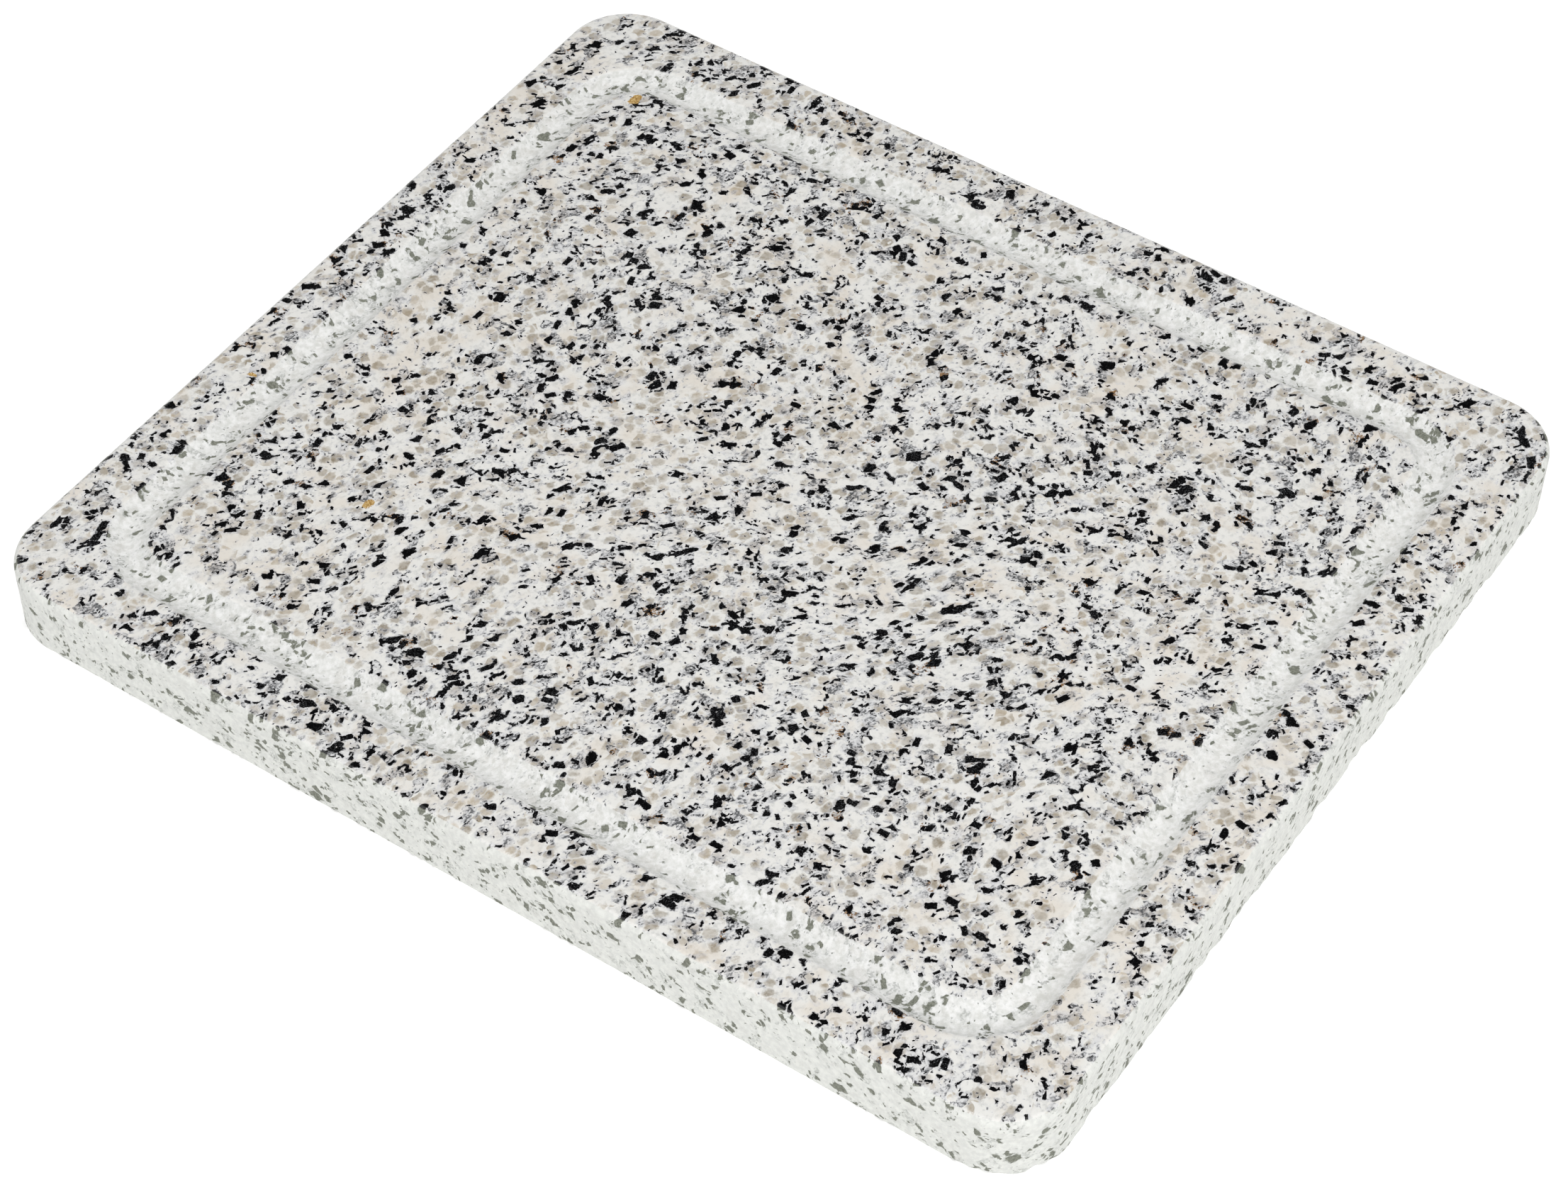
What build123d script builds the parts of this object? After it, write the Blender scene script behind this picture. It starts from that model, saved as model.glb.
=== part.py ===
"""A ground and polished granite slab with a drip groove milled round its top.

Sizes are in millimetres. The origin is at the centre of the underside, +X runs along the
long edge, +Y along the short edge and +Z points up out of the polished top.
"""

from build123d import *
import math
import os

# The slab, cut from stone of the trade's 2 cm gauge.
slab_length = 300.0  # along X
slab_depth = 262.0  # along Y
slab_thickness = 20.0
corner_radius = 18.0  # the four corners seen from above
top_arris_radius = 2.0  # the rounded edge of the polished top
lower_arris_bevel = 0.8  # the sawn lower edge, eased with a rubbing block

# The groove, milled with a ball-ended cutter that follows a rounded rectangle.
cutter_radius = 6.8
groove_depth = 2.4
groove_path_radius = 16.0  # of the cutter's centre line at each corner
rim_left = 15.0  # polished rim between the slab's side and the groove's outer edge
rim_right = 16.2
rim_front = 15.4
rim_back = 18.0

# Worked out from the sizes above.
groove_half_width = math.sqrt(cutter_radius**2 - (cutter_radius - groove_depth) ** 2)
path_length = slab_length - rim_left - rim_right - 2 * groove_half_width
path_depth = slab_depth - rim_front - rim_back - 2 * groove_half_width
path_centre_x = (rim_left - rim_right) / 2
path_centre_y = (rim_front - rim_back) / 2
cutter_height = slab_thickness - groove_depth + cutter_radius


def ground_block():
    """The block before milling: rounded corners, rounded top arris, eased lower arris."""
    block = extrude(RectangleRounded(slab_length, slab_depth, corner_radius), slab_thickness)
    top_edges = block.faces().sort_by(Axis.Z)[-1].edges()
    block = fillet(top_edges, top_arris_radius)
    lower_edges = block.faces().sort_by(Axis.Z)[0].edges()
    return chamfer(lower_edges, lower_arris_bevel)


def groove_cut():
    """The space that the ball-ended cutter sweeps along its closed path."""
    outline = RectangleRounded(path_length, path_depth, groove_path_radius).wire()
    path = Pos(path_centre_x, path_centre_y, cutter_height) * outline
    section = Plane(origin=path @ 0, z_dir=path % 0) * Circle(cutter_radius)
    return sweep(section, path=path)


granite_slab = ground_block() - groove_cut()
granite_slab.label = "granite_slab"

os.makedirs("parts", exist_ok=True)
export_step(granite_slab, "parts/granite_slab.step")
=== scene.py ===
import math
import random

import bpy
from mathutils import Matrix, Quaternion, Vector, noise


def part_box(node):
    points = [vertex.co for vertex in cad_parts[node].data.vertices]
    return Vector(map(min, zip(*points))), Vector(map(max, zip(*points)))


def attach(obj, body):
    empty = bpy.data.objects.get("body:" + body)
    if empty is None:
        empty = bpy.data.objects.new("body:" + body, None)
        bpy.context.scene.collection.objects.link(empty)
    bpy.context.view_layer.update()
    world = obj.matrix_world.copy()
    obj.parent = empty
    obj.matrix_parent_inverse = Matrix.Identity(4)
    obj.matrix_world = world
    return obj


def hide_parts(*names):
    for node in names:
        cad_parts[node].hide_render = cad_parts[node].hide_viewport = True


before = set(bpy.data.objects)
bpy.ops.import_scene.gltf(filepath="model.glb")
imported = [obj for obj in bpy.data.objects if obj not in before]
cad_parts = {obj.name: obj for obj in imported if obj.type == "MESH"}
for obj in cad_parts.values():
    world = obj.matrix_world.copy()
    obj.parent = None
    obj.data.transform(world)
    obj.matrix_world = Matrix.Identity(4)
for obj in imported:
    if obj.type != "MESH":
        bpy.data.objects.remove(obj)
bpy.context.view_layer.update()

# Lengths are in metres, and in the stone's material in millimetres. The slab's own sizes come
# from the CAD node.
MM = 0.001
NODE = "granite_slab"
slab_low, slab_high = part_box(NODE)
LENGTH, DEPTH, THICKNESS = slab_high - slab_low
TOP = slab_high.z

# The ground outline.
CORNER_RADIUS = 18 * MM
TOP_ARRIS = 2 * MM  # the radius of the rounded top edge
LOWER_BEVEL = 0.8 * MM  # the eased lower edge

# The groove: a ball-ended cutter's path, as in the CAD solid.
CUTTER_RADIUS = 6.8 * MM
GROOVE_DEPTH = 2.4 * MM
PATH_RADIUS = 16 * MM
RIM_LEFT, RIM_RIGHT, RIM_FRONT, RIM_BACK = 15 * MM, 16.2 * MM, 15.4 * MM, 18 * MM
HALF_GROOVE = math.sqrt(CUTTER_RADIUS**2 - (CUTTER_RADIUS - GROOVE_DEPTH) ** 2)
PATH_LENGTH = LENGTH - RIM_LEFT - RIM_RIGHT - 2 * HALF_GROOVE
PATH_DEPTH = DEPTH - RIM_FRONT - RIM_BACK - 2 * HALF_GROOVE
PATH_CENTRE = ((RIM_LEFT - RIM_RIGHT) / 2, (RIM_FRONT - RIM_BACK) / 2)
LIP = 0.9 * MM  # how far the worn edge reaches from the groove onto the polish

# Points along one long side, one short side and one corner of every loop of the mesh.
LONG_STEPS, SHORT_STEPS, CORNER_STEPS = 376, 322, 40
STEP_LENGTH = 0.7 * MM  # about the distance between two neighbouring points of a loop
QUARTER_TURN = math.radians(90)


# ---------------------------------------------------------------- camera, floor and light


def make_camera():
    """A product view from beyond the front right corner, looking down at about 48 degrees."""
    azimuth, elevation, roll = math.radians(33.756), math.radians(48.443), math.radians(0.427)
    aim = Vector((0, 0, TOP))
    offset = Vector((-2.22 * MM, -24.15 * MM, 937 * MM))  # right, up and back from the aim
    back = Vector((math.sin(azimuth), -math.cos(azimuth), math.tan(elevation))).normalized()
    camera = bpy.data.objects.new("camera", bpy.data.cameras.new("camera"))
    camera.data.lens = 86.75
    camera.data.clip_start = 0.05
    camera.rotation_mode = "QUATERNION"
    turn = (-back).to_track_quat("-Z", "Y") @ Quaternion((0, 0, 1), roll)
    camera.rotation_quaternion = turn
    camera.location = aim + turn @ offset
    bpy.context.scene.collection.objects.link(camera)
    bpy.context.scene.camera = camera
    return back


def make_floor():
    """A plain white table top."""
    reach = 6.0
    corners = [(-reach, -reach, 0), (reach, -reach, 0), (reach, reach, 0), (-reach, reach, 0)]
    mesh = bpy.data.meshes.new("floor")
    mesh.from_pydata(corners, [], [(0, 1, 2, 3)])
    material = bpy.data.materials.new("floor_white")
    material.use_nodes = True
    shader = material.node_tree.nodes["Principled BSDF"]
    shader.inputs["Base Color"].default_value = (0.96, 0.96, 0.96, 1)
    shader.inputs["Roughness"].default_value = 0.9
    shader.inputs["Specular IOR Level"].default_value = 0.1
    shader.inputs["Emission Color"].default_value = (1, 1, 1, 1)
    shader.inputs["Emission Strength"].default_value = 0.12
    mesh.materials.append(material)
    floor = bpy.data.objects.new("floor", mesh)
    bpy.context.scene.collection.objects.link(floor)


def make_light(back):
    """A white tent, a soft box beside the camera and a dim gap where the polish would mirror the tent."""
    world = bpy.data.worlds.new("tent")
    bpy.context.scene.world = world
    world.use_nodes = True
    n = Nodes(world.node_tree)
    background = world.node_tree.nodes["Background"]
    direction = n.add("ShaderNodeTexCoord").outputs["Generated"]
    overhead = n.dot(direction, (0, 0, 1))
    roof = n.ramp(overhead, 0.0, 1.0, 0.42, 1.22)
    beyond = n.dot(direction, (-back.x, -back.y, 0))
    wall = n.ramp(beyond, -0.2, 0.5, 0.5, 1.05)
    near_floor = n.ramp(overhead, 0.30, 0.12)
    tent = n.math("MAXIMUM", roof, n.math("MULTIPLY", wall, near_floor))
    mirrored = n.dot(direction, (-back.x, -back.y, back.z))
    gap_edge, gap_core = math.cos(math.radians(32)), math.cos(math.radians(20))
    gap = n.ramp(mirrored, gap_edge, gap_core, 1.0, 0.03)
    strength = n.math("MULTIPLY", tent, gap)
    world.node_tree.links.new(strength, background.inputs["Strength"])
    background.inputs["Color"].default_value = (1, 1, 1, 1)

    box = bpy.data.lights.new("soft_box", "AREA")
    box.shape = "SQUARE"
    box.size = 0.9
    box.energy = 6.6
    box.use_shadow = False
    lamp = bpy.data.objects.new("soft_box", box)
    towards = Vector((0.66, -0.66, 1.1)).normalized()
    distance = 1.3
    lamp.location = towards * distance
    lamp.rotation_mode = "QUATERNION"
    lamp.rotation_quaternion = (-towards).to_track_quat("-Z", "Y")
    bpy.context.scene.collection.objects.link(lamp)


# ---------------------------------------------------------------- node shorthand


class Nodes:
    """Short calls that add shader nodes to one tree. An input is a number, a tuple or an output socket."""

    def __init__(self, tree):
        self.tree = tree

    def add(self, kind, inputs=(), **settings):
        node = self.tree.nodes.new(kind)
        for name, value in settings.items():
            setattr(node, name, value)
        for key, value in dict(inputs).items():
            if isinstance(value, bpy.types.NodeSocket):
                self.tree.links.new(value, node.inputs[key])
            else:
                node.inputs[key].default_value = value
        return node

    def math(self, operation, *values):
        return self.add("ShaderNodeMath", enumerate(values), operation=operation).outputs[0]

    def vector(self, operation, *values):
        node = self.add("ShaderNodeVectorMath", enumerate(values), operation=operation)
        return node.outputs["Vector"]

    def scaled(self, vector, factor):
        inputs = {"Vector": vector, "Scale": factor}
        return self.add("ShaderNodeVectorMath", inputs, operation="SCALE").outputs["Vector"]

    def dot(self, one, other):
        node = self.add("ShaderNodeVectorMath", enumerate((one, other)), operation="DOT_PRODUCT")
        return node.outputs["Value"]

    def ramp(self, value, start, end, low=0.0, high=1.0):
        """Goes smoothly from low at start to high at end."""
        inputs = {"Value": value, "From Min": start, "From Max": end, "To Min": low, "To Max": high}
        node = self.add("ShaderNodeMapRange", inputs, interpolation_type="SMOOTHSTEP")
        return node.outputs["Result"]

    def mix(self, factor, one, other):
        """Colours one and other, mixed by factor."""
        node = self.add("ShaderNodeMix", {0: factor, 6: one, 7: other}, data_type="RGBA")
        return node.outputs[2]

    def noise(self, place, size, detail=2.0, roughness=0.5):
        """Smooth noise from 0 to 1 whose lumps are about this size."""
        inputs = {"Vector": place, "Scale": 1 / size, "Detail": detail, "Roughness": roughness}
        return self.add("ShaderNodeTexNoise", inputs).outputs["Fac"]

    def warp(self, place, size, amount):
        """The place, pushed about by up to half of amount."""
        inputs = {"Vector": place, "Scale": 1 / size, "Detail": 2.0}
        push = self.add("ShaderNodeTexNoise", inputs).outputs["Color"]
        push = self.vector("SUBTRACT", push, (0.5, 0.5, 0.5))
        return self.vector("ADD", place, self.scaled(push, amount))

    def cells(self, place, spacing):
        """A grain per cell: its distance, its centre and its random colour."""
        inputs = {"Vector": place, "Scale": 1 / spacing}
        node = self.add("ShaderNodeTexVoronoi", inputs)
        return node.outputs["Distance"], node.outputs["Position"], node.outputs["Color"]

    def lottery(self, centre, seed):
        """A random number and a random colour for the cell that has this centre."""
        shifted = self.vector("ADD", centre, (seed, 2 * seed, 3 * seed))
        node = self.add("ShaderNodeTexWhiteNoise", {"Vector": shifted}, noise_dimensions="3D")
        return node.outputs["Value"], node.outputs["Color"]


def srgb(red, green, blue):
    """A colour given as screen values out of 255, as linear light with alpha 1."""
    def linear(value):
        value /= 255
        return value / 12.92 if value <= 0.04045 else ((value + 0.055) / 1.055) ** 2.4
    return (linear(red), linear(green), linear(blue), 1.0)


# ---------------------------------------------------------------- the stone's material


# Mica plates: the spacing of the cells that may hold one, the plate's half sizes, and the share
# of cells that hold one outside and inside a clump.
LARGE_MICA = (3.9, (1.12, 2.1, 1.8), (0.06, 0.75))
MEDIUM_MICA = (2.2, (0.48, 1.3, 1.0), (0.12, 0.72))
SMALL_MICA = (1.05, (0.2, 0.56, 0.40), (0.07, 0.30))
NO_PLATE = 10.0  # added to the distance where a cell holds no plate
UNDER_SHARE = 2.4  # plates lie just under the surface this much more often than at it

QUARTZ_SPACING = 3.1
POLISH_REACH = 0.5  # how far below the top the polish has faded out
MILLED_INSET = 6.0  # ground stone further in than this is the groove, not the sides
GROUND_ROUGHNESS, POLISHED_ROUGHNESS = 0.78, 0.16


class Rock:
    """The patterns that every mineral follows, in millimetres all through the block."""

    def __init__(self, n):
        self.place = n.scaled(n.add("ShaderNodeTexCoord").outputs["Object"], 1 / MM)
        flow = n.warp(self.place, 150.0, 24.0)  # the grain's direction drifts across the slab
        turn = {"Vector": flow, "Angle": math.radians(29)}
        turned = n.add("ShaderNodeVectorRotate", turn, rotation_type="Z_AXIS").outputs["Vector"]
        self.grain = n.vector("MULTIPLY", turned, (1.06, 0.92, 1.0))  # drawn out along the grain
        self.torn = n.warp(self.grain, 1.1, 0.7)  # for uneven outlines
        self.ragged = n.warp(self.torn, 0.3, 0.25)  # for frayed outlines

        self.fine = n.noise(self.torn, 0.45, detail=2.0, roughness=0.6)
        self.mottle = n.noise(self.torn, 1.4, detail=3.0, roughness=0.6)
        zone = n.noise(self.grain, 34.0, detail=1.0)
        patches = n.noise(self.torn, 9.0, detail=2.0)
        self.patches = n.math("MULTIPLY_ADD", zone, -0.4, patches)  # high where the stone is cream
        clump = n.noise(self.grain, 4.8, detail=2.0)
        clump = n.math("MULTIPLY_ADD", zone, 0.16, clump)
        self.crowded = n.ramp(clump, 0.575, 0.665)  # 1 in a clump of mica

        # The polish ends raggedly on the arris and at the groove's lips.
        height = n.add("ShaderNodeSeparateXYZ", {"Vector": self.place}).outputs["Z"]
        self.level = n.ramp(height, TOP / MM - POLISH_REACH, TOP / MM)
        start = n.math("MULTIPLY", self.fine, 0.6)
        self.polish = n.ramp(self.level, start, n.math("ADD", start, 0.4))


def feldspar(n, rock):
    """The colour of the white feldspar and of its cream patches, a centimetre or so across."""
    dull_white, bright_white, cream = srgb(202, 202, 199), srgb(225, 224, 220), srgb(216, 207, 194)
    white = n.mix(n.ramp(rock.mottle, 0.28, 0.55), dull_white, bright_white)
    return n.mix(n.ramp(rock.patches, 0.27, 0.51, 0.0, 0.6), white, cream)


class Quartz:
    """Grey-brown quartz: rounded grains, a little translucent, more of them in some places."""

    def __init__(self, n, rock):
        lumpy = n.warp(rock.grain, 1.6, 1.3)
        distance, centre, _ = n.cells(lumpy, QUARTZ_SPACING)
        inputs = {"Vector": lumpy, "Scale": 1 / QUARTZ_SPACING}
        second = n.add("ShaderNodeTexVoronoi", inputs, feature="F2").outputs["Distance"]
        seam = n.ramp(n.math("SUBTRACT", second, distance), 0.0, 0.25, 0.35, 1.0)
        self.edge = n.math("MULTIPLY_ADD", rock.fine, 0.5, distance)
        blob = n.math("MULTIPLY", n.ramp(self.edge, 0.96, 0.66), seam)

        self.chance, shade = n.lottery(centre, seed=7.0)
        self.shade = n.add("ShaderNodeSeparateColor", {"Color": shade}).outputs
        share = n.ramp(n.noise(rock.grain, 8.0, detail=2.0), 0.38, 0.62, 0.12, 0.90)
        amount = n.math("MULTIPLY", n.math("LESS_THAN", self.chance, share), blob)
        amount = n.math("MULTIPLY", amount, n.ramp(self.shade["Green"], 0.0, 1.0, 0.65, 1.0))
        self.amount = n.math("MULTIPLY", amount, n.ramp(rock.mottle, 0.32, 0.62, 1.0, 0.68))
        dark, light = srgb(138, 128, 111), srgb(194, 181, 161)
        self.colour = n.mix(self.shade["Red"], dark, light)


def plates(n, rock, kind, seed):
    """Mica plates, one box at most in each cell, each with its own turn and size.

    Gives the distance from a plate that the surface cuts and from one that lies just under it.
    Each is 1 at the plate's faces, and large where there is no such plate.
    """
    spacing, half_sizes, shares = kind
    _, centre, colour = n.cells(rock.ragged, spacing)
    chance, more = n.lottery(centre, seed)
    turn = n.vector("SUBTRACT", colour, (0.5, 0.5, 0.5))
    turn = n.vector("MULTIPLY", turn, (2.2, 2.2, 3.0))
    inputs = {"Vector": n.vector("SUBTRACT", rock.ragged, centre), "Rotation": turn}
    local = n.add("ShaderNodeVectorRotate", inputs, rotation_type="EULER_XYZ").outputs["Vector"]
    local = n.vector("DIVIDE", n.vector("ABSOLUTE", local), half_sizes)
    parts = n.add("ShaderNodeSeparateXYZ", {"Vector": local}).outputs
    distance = n.math("MAXIMUM", n.math("MAXIMUM", parts["X"], parts["Y"]), parts["Z"])
    size = n.add("ShaderNodeSeparateColor", {"Color": more}).outputs["Red"]
    shrink = n.ramp(size, 0.0, 1.0, 1.5, 0.8)
    distance = n.math("MULTIPLY", distance, shrink)

    share = n.ramp(rock.crowded, 0, 1, *shares)
    absent = n.math("GREATER_THAN", chance, share)
    cut = n.math("MULTIPLY_ADD", absent, NO_PLATE, distance)
    absent = n.math("GREATER_THAN", chance, n.math("MULTIPLY", share, UNDER_SHARE))
    return cut, n.math("MULTIPLY_ADD", absent, NO_PLATE, distance)


class Mica:
    """Black mica in three sizes, with frayed edges. The plates crowd together in clumps."""

    def __init__(self, n, rock):
        large, large_under = plates(n, rock, LARGE_MICA, seed=1.0)
        medium, medium_under = plates(n, rock, MEDIUM_MICA, seed=2.0)
        small, small_under = plates(n, rock, SMALL_MICA, seed=3.0)
        thread = n.vector("MULTIPLY", rock.ragged, (1.2, 0.9, 1.2))
        thread = n.noise(thread, 0.7, detail=3.0, roughness=0.6)
        fray = n.math("MULTIPLY_ADD", thread, 0.7, -0.35)

        bold = n.math("MINIMUM", large, medium)
        self.nearest = n.math("ADD", n.math("MINIMUM", bold, small), fray)
        self.amount = n.ramp(self.nearest, 1.05, 0.94)
        fewer = n.math("MINIMUM", bold, n.math("ADD", small, 0.25))  # few small ones survive grinding
        self.nearest_ground = n.math("ADD", fewer, fray)

        # Mica just under the polish shows through as feathery grey patches in a faint blue haze.
        under = n.math("MINIMUM", n.math("MINIMUM", large_under, medium_under), small_under)
        self.haze = n.math("MAXIMUM", n.ramp(under, 2.2, 0.9), n.math("MULTIPLY", rock.crowded, 0.4))
        feathers = n.math("MULTIPLY", n.ramp(under, 1.2, 0.7), n.ramp(thread, 0.38, 0.60))
        shreds = n.math("MULTIPLY", self.haze, n.ramp(thread, 0.50, 0.71, 0.0, 0.55))
        self.shreds = n.math("MAXIMUM", n.math("MULTIPLY", feathers, 0.9), shreds)

        # Streaks of painted sheen: lighter grey painted into the flakes' black colour as if light glinted
        # off them, faint where the stone is cream.
        painted_sheen = n.noise(n.vector("MULTIPLY", rock.ragged, (3.0, 1.0, 3.0)), 0.5, detail=2.0)
        dulled = n.ramp(rock.patches, 0.20, 0.40, 1.0, 0.2)
        painted_sheen = n.math("MULTIPLY", n.ramp(painted_sheen, 0.54, 0.72), dulled)
        # black flakes, and the grey of their painted sheen
        black, grey = srgb(4, 4, 5), srgb(84, 86, 88)
        self.colour = n.mix(painted_sheen, black, grey)


def stained(n, rock, quartz, mica, colour):
    """The colour with a little rust round a few flakes and a very few golden quartz grains."""
    rim = n.math("MULTIPLY", n.ramp(mica.nearest, 1.7, 1.3), n.ramp(mica.nearest, 0.8, 1.05))
    rust = n.math("LESS_THAN", quartz.shade["Blue"], 0.035)
    rust = n.math("MULTIPLY", n.math("MULTIPLY", rust, rim), n.ramp(rock.fine, 0.46, 0.54))
    dark_rust, light_rust = srgb(84, 52, 32), srgb(168, 134, 92)
    colour = n.mix(rust, colour, n.mix(rock.mottle, dark_rust, light_rust))
    golden = n.math("LESS_THAN", quartz.chance, 0.0006)
    golden = n.math("MULTIPLY", golden, n.ramp(quartz.edge, 0.92, 0.86))
    dark_gold, light_gold = srgb(148, 112, 58), srgb(206, 176, 120)
    return n.mix(golden, colour, n.mix(n.ramp(rock.fine, 0.35, 0.6), dark_gold, light_gold))


def ground(n, rock, quartz, mica, bare):
    """The colour of ground stone: the white is chalky, the quartz fades and the mica turns green grey.

    The groove is whiter than the sides. It shows a little of the bare colour that the polished
    stone has between its flakes, and its own flakes are slightly smaller.
    """
    half_length, half_depth = LENGTH / 2 / MM - MILLED_INSET, DEPTH / 2 / MM - MILLED_INSET
    any_height = 1000.0
    inside = n.vector("ABSOLUTE", rock.place)
    inside = n.vector("DIVIDE", inside, (half_length, half_depth, any_height))
    inside = n.add("ShaderNodeSeparateXYZ", {"Vector": inside}).outputs
    milled = n.math("LESS_THAN", n.math("MAXIMUM", inside["X"], inside["Y"]), 1.0)

    dull_chalk, side_chalk, groove_chalk = srgb(206, 207, 203), srgb(221, 222, 217), srgb(230, 230, 229)
    faded_quartz, faded_shreds = srgb(196, 195, 190), srgb(148, 151, 146)
    chalk = n.mix(milled, side_chalk, groove_chalk)
    chalk = n.mix(n.ramp(rock.mottle, 0.3, 0.7), dull_chalk, chalk)
    chalk = n.mix(n.math("MULTIPLY", quartz.amount, 0.3), chalk, faded_quartz)
    chalk = n.mix(n.math("MULTIPLY", mica.shreds, 0.6), chalk, faded_shreds)
    chalk = n.mix(n.math("MULTIPLY", milled, 0.12), chalk, bare)

    dark_bruise, light_bruise = srgb(94, 97, 86), srgb(134, 136, 125)
    bruised = n.mix(n.ramp(rock.fine, 0.3, 0.7), dark_bruise, light_bruise)
    flake_edge = n.ramp(milled, 0, 1, 0.99, 0.95)
    flake = n.ramp(mica.nearest_ground, flake_edge, n.math("ADD", flake_edge, -0.18))
    return n.mix(flake, chalk, bruised)


def granite():
    """Fine light granite: white and cream feldspar, grey quartz and black mica."""
    material = bpy.data.materials.new("granite")
    material.use_nodes = True
    tree = material.node_tree
    shader = tree.nodes["Principled BSDF"]
    n = Nodes(tree)
    rock = Rock(n)
    quartz = Quartz(n, rock)
    mica = Mica(n, rock)

    blue_haze, shred_grey = srgb(194, 196, 204), srgb(62, 64, 67)
    bare = n.mix(quartz.amount, feldspar(n, rock), quartz.colour)
    bare = n.mix(n.math("MULTIPLY", mica.haze, 0.42), bare, blue_haze)
    bare = n.mix(mica.shreds, bare, shred_grey)
    polished = n.mix(mica.amount, bare, mica.colour)
    polished = stained(n, rock, quartz, mica, polished)
    colour = n.mix(rock.polish, ground(n, rock, quartz, mica, bare), polished)
    tree.links.new(colour, shader.inputs["Base Color"])
    roughness = n.ramp(rock.polish, 0, 1, GROUND_ROUGHNESS, POLISHED_ROUGHNESS)
    tree.links.new(roughness, shader.inputs["Roughness"])

    # The ground faces keep a fine grain that the polish has removed.
    grit = n.noise(rock.place, 0.35, detail=2.0, roughness=0.65)
    relief = n.math("MULTIPLY", grit, n.ramp(rock.level, 0, 1, 1.0, 0.02))
    bump = {"Height": relief, "Distance": 0.12 * MM, "Strength": 0.6}
    tree.links.new(n.add("ShaderNodeBump", bump).outputs["Normal"], shader.inputs["Normal"])
    return material


# ---------------------------------------------------------------- the stone's shape


def loop(length, depth, radius, centre=(0.0, 0.0)):
    """Points round a rounded rectangle, anticlockwise, as (x, y, outward x, outward y)."""
    straight_x, straight_y = length / 2 - radius, depth / 2 - radius
    corners = [(1, -1), (1, 1), (-1, 1), (-1, -1)]
    points = []
    for index, (side_x, side_y) in enumerate(corners):
        middle = (centre[0] + side_x * straight_x, centre[1] + side_y * straight_y)
        start = QUARTER_TURN * (index - 1)
        for step in range(CORNER_STEPS):
            angle = start + QUARTER_TURN * step / CORNER_STEPS
            out = (math.cos(angle), math.sin(angle))
            points.append((middle[0] + radius * out[0], middle[1] + radius * out[1], *out))
        steps, run = (SHORT_STEPS, 2 * straight_y) if index % 2 == 0 else (LONG_STEPS, 2 * straight_x)
        angle = start + QUARTER_TURN
        out = (math.cos(angle), math.sin(angle))
        along = (-out[1], out[0])
        for step in range(steps):
            slid = run * step / steps
            x = middle[0] + radius * out[0] + along[0] * slid
            y = middle[1] + radius * out[1] + along[1] * slid
            points.append((x, y, *out))
    return points


def slab_loop(inset):
    """A loop of the slab's outline, this far inside it."""
    return loop(LENGTH - 2 * inset, DEPTH - 2 * inset, CORNER_RADIUS - inset)


def groove_loop(offset):
    """A loop of the groove, this far outside the cutter's path."""
    return loop(PATH_LENGTH + 2 * offset, PATH_DEPTH + 2 * offset, PATH_RADIUS + offset, PATH_CENTRE)


def chips():
    """Small breaks along the lower arris: (place along the loop, half length, height, depth)."""
    draw = random.Random(7)
    quarter = CORNER_STEPS + SHORT_STEPS
    half = quarter + CORNER_STEPS + LONG_STEPS
    # The right side is the most broken and the front the least: (first step, last step, chips, boldness).
    stretches = [(0, quarter, 95, 1.0), (quarter, half, 60, 0.6),
                 (half, half + quarter, 55, 0.6), (half + quarter, 2 * half, 60, 0.3)]
    found = []
    for first, last, number, boldness in stretches:
        for _ in range(number):
            place = draw.uniform(first, last)
            size = boldness * draw.random() ** 1.8
            half_length = (0.7 + 2.6 * size) * MM
            height = (0.5 + 2.6 * size * draw.uniform(0.6, 1.1)) * MM
            deep = (0.12 + 1.1 * size * draw.uniform(0.6, 1.2)) * MM
            found.append((place, half_length, height, deep))
    return found


def chip_depth(breaks, index, count, height):
    """How far the chips cut in at this point of the loop and this height above the underside."""
    deepest = 0.0
    for place, half_length, tall, deep in breaks:
        apart = abs(index - place)
        apart = min(apart, count - apart) * STEP_LENGTH / half_length
        if apart < 1 and height < tall:
            bowl = (1 - apart**1.5) * (1 - height / tall)
            deepest = max(deepest, deep * bowl)
    return deepest


def flat_ring(points, height):
    """The loop laid flat at one height."""
    return [(x, y, height) for x, y, _, _ in points]


def shrunk_ring(points, centre, share, height):
    """The loop drawn in towards a centre, to this share of its size."""
    return [(centre[0] + (x - centre[0]) * share, centre[1] + (y - centre[1]) * share, height)
            for x, y, _, _ in points]


def side_ring(breaks, inset, height):
    """A loop of the ground side, slightly wavy and chipped near the underside."""
    wave_depth, wave_length = 0.07 * MM, 26 * MM
    grit_depth, grit_length = 0.03 * MM, 2.2 * MM
    points = slab_loop(inset)
    made = []
    for index, (x, y, out_x, out_y) in enumerate(points):
        spot = Vector((x, y, height))
        inward = wave_depth * (noise.noise(spot / wave_length) + 1)
        inward += grit_depth * (noise.noise(spot / grit_length) + 1)
        inward += chip_depth(breaks, index, len(points), height)
        made.append((x - out_x * inward, y - out_y * inward, height))
    return made


def lip_ring(offset, drop):
    """A loop of the groove's lip, broken unevenly by the cutter."""
    crumb, crumb_length = 0.2 * MM, 1.1 * MM
    stray, stray_length = 0.14 * MM, 4 * MM
    drop_length = 0.9 * MM
    made = []
    for x, y, out_x, out_y in groove_loop(offset):
        spot = Vector((x, y, 0))
        outward = crumb * noise.noise(spot / crumb_length) + stray * noise.noise(spot / stray_length)
        lower = drop * (1 + noise.noise(spot / drop_length))
        made.append((x + out_x * outward, y + out_y * outward, TOP - lower))
    return made


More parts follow.
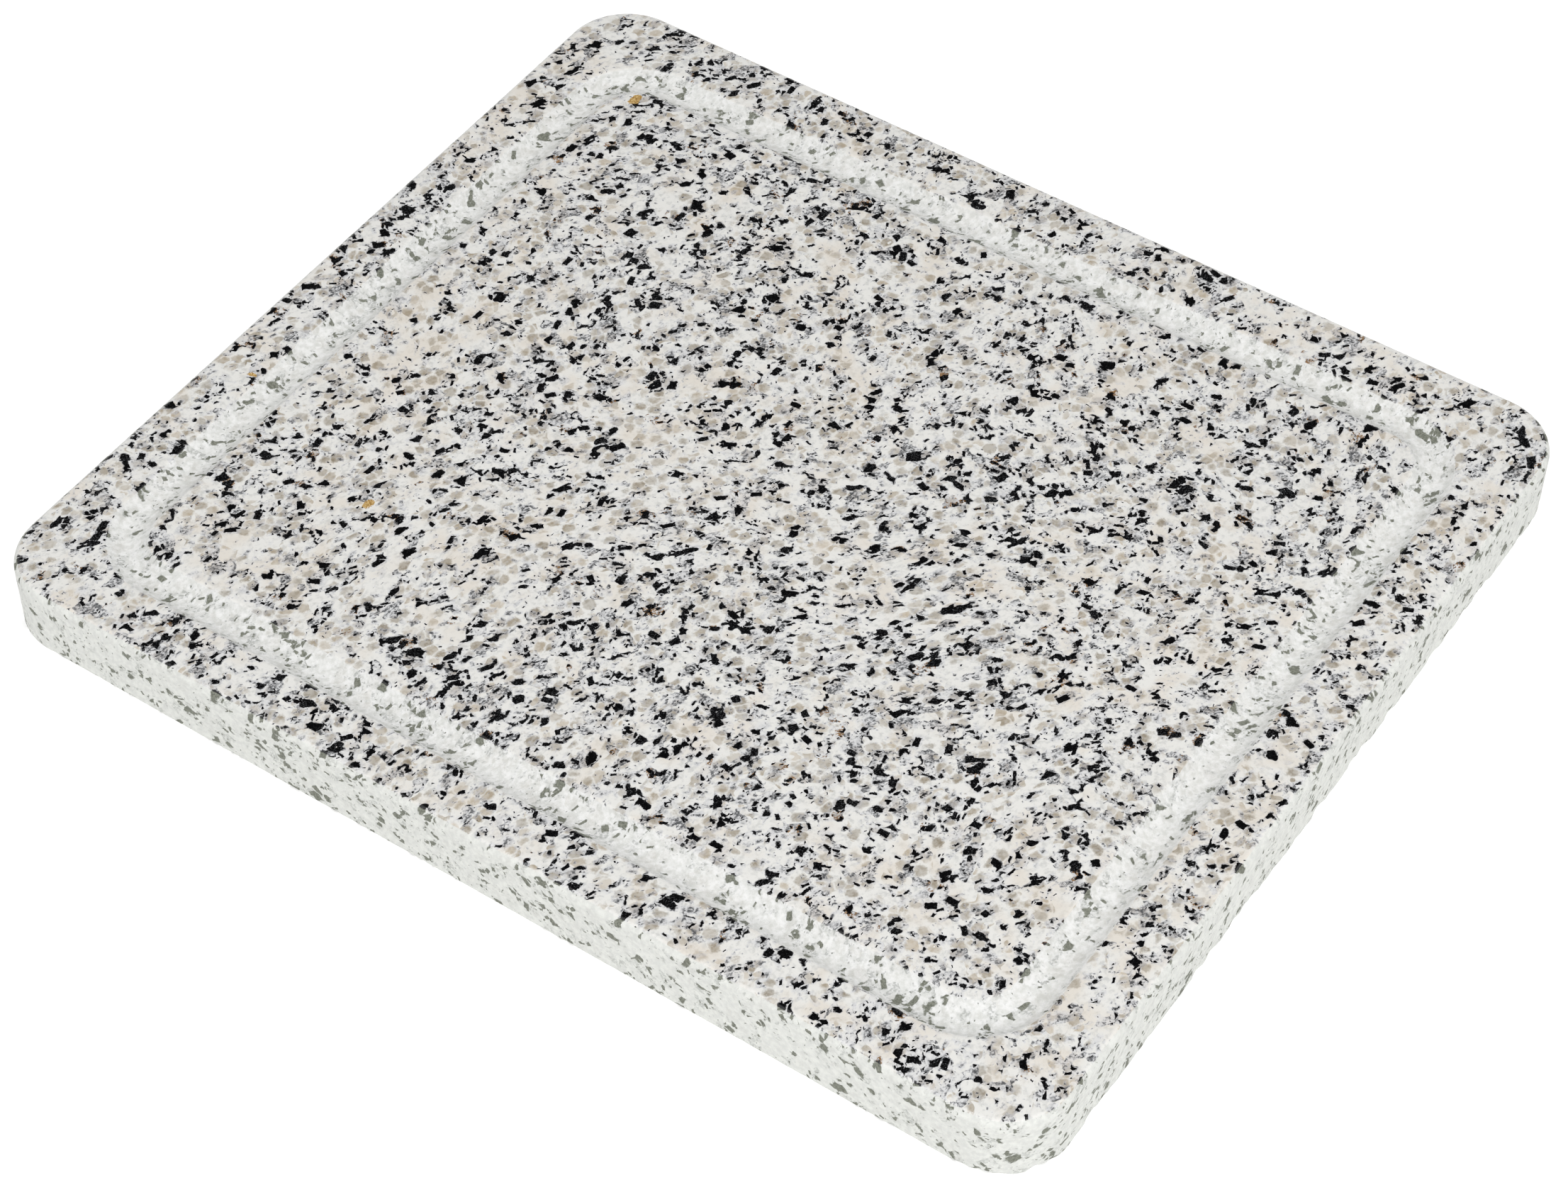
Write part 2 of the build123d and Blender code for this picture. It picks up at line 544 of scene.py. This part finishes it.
def floor_ring(offset, height):
    """A loop of the groove's floor, with the cutter's faint unevenness."""
    ripple, ripple_length = 0.05 * MM, 1.6 * MM
    made = []
    for x, y, *_ in groove_loop(offset):
        made.append((x, y, height + ripple * noise.noise(Vector((x, y, 0)) / ripple_length)))
    return made


def underside_rings():
    """The flat underside, up to the eased edge."""
    inner_inset, outer_inset = 4 * MM, 2.4 * MM
    base = slab_loop(inner_inset)
    rings = [shrunk_ring(base, (0, 0), share, 0.0) for share in (0.25, 0.55, 0.8, 0.95, 1.0)]
    rings.append(flat_ring(slab_loop(outer_inset), 0.0))
    return rings


def side_rings():
    """The eased lower edge, the side, with rings closest near the underside, and the top arris."""
    breaks = chips()
    rings = [side_ring(breaks, LOWER_BEVEL, 0.0)]
    rings.append(side_ring(breaks, LOWER_BEVEL * 0.45, 0.35 * LOWER_BEVEL))  # slightly rounded
    rings.append(side_ring(breaks, 0.0, LOWER_BEVEL))
    height = LOWER_BEVEL
    rise, growth, largest_rise = 0.5 * MM, 1.12, 1.5 * MM
    while height + rise < THICKNESS - TOP_ARRIS:
        height += rise
        rings.append(side_ring(breaks, 0.0, height))
        rise = min(rise * growth, largest_rise)
    arris_steps = 7
    for step in range(arris_steps + 1):
        angle = QUARTER_TURN * step / arris_steps
        inset = TOP_ARRIS * (1 - math.cos(angle))
        height = TOP - TOP_ARRIS * (1 - math.sin(angle))
        if step < arris_steps - 1:
            rings.append(side_ring(breaks, inset, height))
        else:
            rings.append(flat_ring(slab_loop(inset), height))  # true where it meets the polish
    return rings


def rim_rings():
    """The polished rim, from the slab's outline to the groove's, which isn't concentric with it."""
    outer = slab_loop(TOP_ARRIS)
    lip = groove_loop(HALF_GROOVE + LIP)
    rings = []
    for share in (0.1, 0.5):
        mixed = []
        for (x, y, *_), (to_x, to_y, *_) in zip(outer, lip):
            mixed.append((x + (to_x - x) * share, y + (to_y - y) * share, TOP))
        rings.append(mixed)
    rings.append(flat_ring(lip, TOP))
    return rings


def groove_rings():
    """The groove between its two worn lips, from the outer lip to the inner one."""
    half_lip, small_drop, full_drop = 0.45 * LIP, 0.04 * MM, 0.17 * MM
    rings = [lip_ring(HALF_GROOVE + half_lip, small_drop), lip_ring(HALF_GROOVE, full_drop)]
    groove_steps = 16
    sweep = math.asin(HALF_GROOVE / CUTTER_RADIUS)
    for step in range(1, groove_steps):
        angle = sweep * (1 - 2 * step / groove_steps)
        height = TOP - GROOVE_DEPTH + CUTTER_RADIUS * (1 - math.cos(angle))
        rings.append(floor_ring(CUTTER_RADIUS * math.sin(angle), height))
    rings.append(lip_ring(-HALF_GROOVE, full_drop))
    rings.append(lip_ring(-HALF_GROOVE - half_lip, small_drop))
    return rings


def field_rings():
    """The polished field inside the groove."""
    inner = groove_loop(-HALF_GROOVE - LIP)
    return [shrunk_ring(inner, PATH_CENTRE, share, TOP) for share in (1.0, 0.95, 0.8, 0.55, 0.25)]


def skin(rings):
    """Points and faces of the closed skin through the rings, with a point in the middle of each end."""
    count = len(rings[0])
    points = [point for ring in rings for point in ring]
    faces = []
    for level in range(len(rings) - 1):
        low, high = level * count, (level + 1) * count
        for index in range(count):
            following = (index + 1) % count
            faces.append((low + index, low + following, high + following, high + index))
    under, over = len(points), len(points) + 1
    points += [(0, 0, 0), (*PATH_CENTRE, TOP)]
    last = (len(rings) - 1) * count
    for index in range(count):
        following = (index + 1) % count
        faces.append((under, following, index))
        faces.append((over, last + index, last + following))
    return points, faces


def make_slab():
    """The stone as one closed skin, from the middle of the underside out, up and in over the top."""
    rings = underside_rings() + side_rings() + rim_rings() + groove_rings() + field_rings()
    points, faces = skin(rings)
    mesh = bpy.data.meshes.new("stone")
    mesh.from_pydata(points, [], faces)
    mesh.shade_smooth()
    mesh.materials.append(granite())
    stone = bpy.data.objects.new("stone", mesh)
    bpy.context.scene.collection.objects.link(stone)
    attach(stone, "root")
    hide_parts(NODE)


bpy.context.scene.view_settings.view_transform = "Standard"
camera_back = make_camera()
make_floor()
make_light(camera_back)
make_slab()
